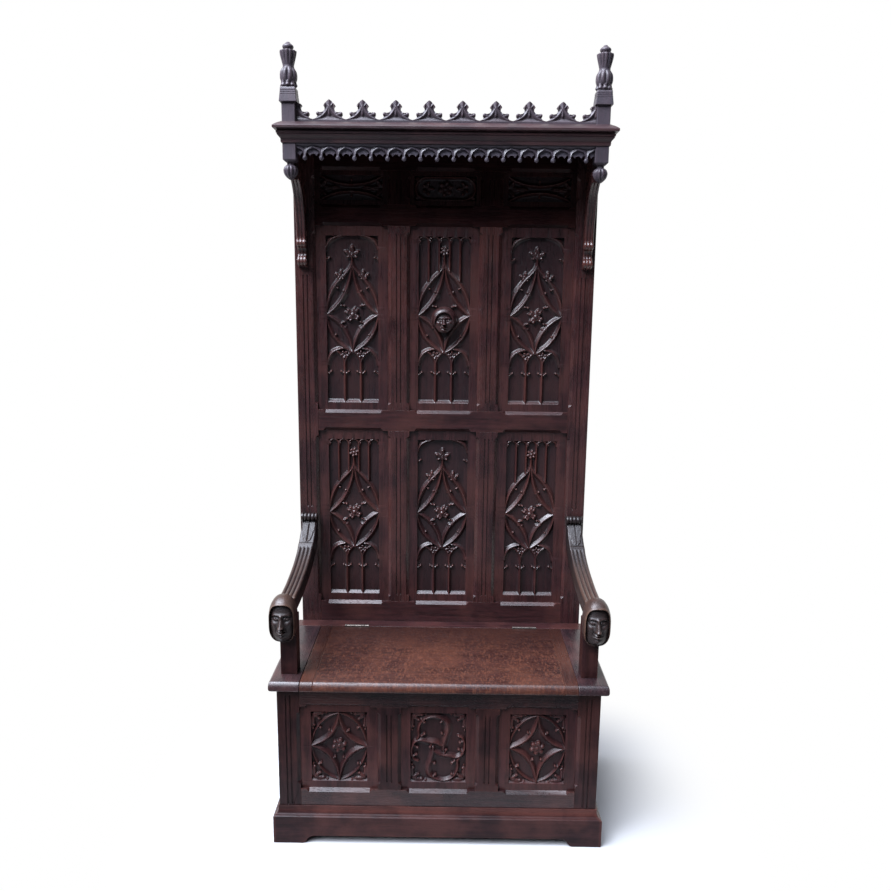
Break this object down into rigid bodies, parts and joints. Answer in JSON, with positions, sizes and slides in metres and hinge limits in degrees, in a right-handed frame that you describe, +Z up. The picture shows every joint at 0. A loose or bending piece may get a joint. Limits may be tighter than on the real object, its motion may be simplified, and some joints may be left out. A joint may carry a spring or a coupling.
{
  "type": "chest bench",
  "caption": "Tall oak hall bench with a hinged lid over a chest seat, a carved panelled back, arms ending in carved heads, and a canopy with a crest and finials.",
  "frame": {"origin": "on the floor, in the middle of the bench's bounding box", "axes": "+Z up, -Y towards the sitter's front, +X to the right seen from the front"},
  "size_m": [0.914, 0.461, 2.14],
  "materials": {
    "dark_oak": "dark stained and waxed",
    "panel_oak": "dark stained and waxed, carved",
    "seat_oak": "stained and waxed, worn brighter by use",
    "inside_oak": "unfinished",
    "steel": "dull, worn"
  },
  "bodies": {
    "bench": {"arm_post_left": "dark_oak", "arm_post_right": "dark_oak", "armrest_left": "dark_oak", "armrest_right": "dark_oak", "back_bottom_rail": "dark_oak", "back_middle_rail": "dark_oak", "back_stile_left": "dark_oak", "back_stile_right": "dark_oak", "back_top_rail": "dark_oak", "back_upper_rail": "dark_oak", "bracket_left": "dark_oak", "bracket_right": "dark_oak", "chest_back_board": "inside_oak", "chest_bottom_rail": "dark_oak", "chest_floor": "inside_oak", "chest_muntin_left": "dark_oak", "chest_muntin_right": "dark_oak", "chest_panel_centre": "panel_oak", "chest_panel_left": "panel_oak", "chest_panel_right": "panel_oak", "chest_side_left": "dark_oak", "chest_side_right": "dark_oak", "chest_stile_left": "dark_oak", "chest_stile_right": "dark_oak", "chest_top_rail": "dark_oak", "corner_post_left": "dark_oak", "corner_post_right": "dark_oak", "cornice_bed": "dark_oak", "cornice_cap": "dark_oak", "crest": "dark_oak", "frieze_muntin_left": "dark_oak", "frieze_muntin_right": "dark_oak", "frieze_panel_centre": "panel_oak", "frieze_panel_left": "panel_oak", "frieze_panel_right": "panel_oak", "fringe": "dark_oak", "hinge_rail": "seat_oak", "hinge_rail_leaf_left": "steel", "hinge_rail_leaf_right": "steel", "hooded_head_boss": "panel_oak", "lower_muntin_left": "dark_oak", "lower_muntin_right": "dark_oak", "lower_panel_centre": "panel_oak", "lower_panel_left": "panel_oak", "lower_panel_right": "panel_oak", "plinth_front": "dark_oak", "plinth_left": "dark_oak", "plinth_right": "dark_oak", "seat_end_left": "seat_oak", "seat_end_right": "seat_oak", "upper_muntin_left": "dark_oak", "upper_muntin_right": "dark_oak", "upper_panel_centre": "panel_oak", "upper_panel_left": "panel_oak", "upper_panel_right": "panel_oak"},
    "lid": {"lid_board": "seat_oak", "lid_cleat_left": "seat_oak", "lid_cleat_right": "seat_oak", "hinge_lid_leaf_left": "steel", "hinge_lid_leaf_right": "steel"}
  },
  "joints": [
    {"name": "lid_hinge", "type": "hinge", "parent": "bench", "child": "lid", "pos_m": [0, 0.1455, 0.481], "axis": [-1, 0, 0], "range_deg": [0, 95]}
  ]
}
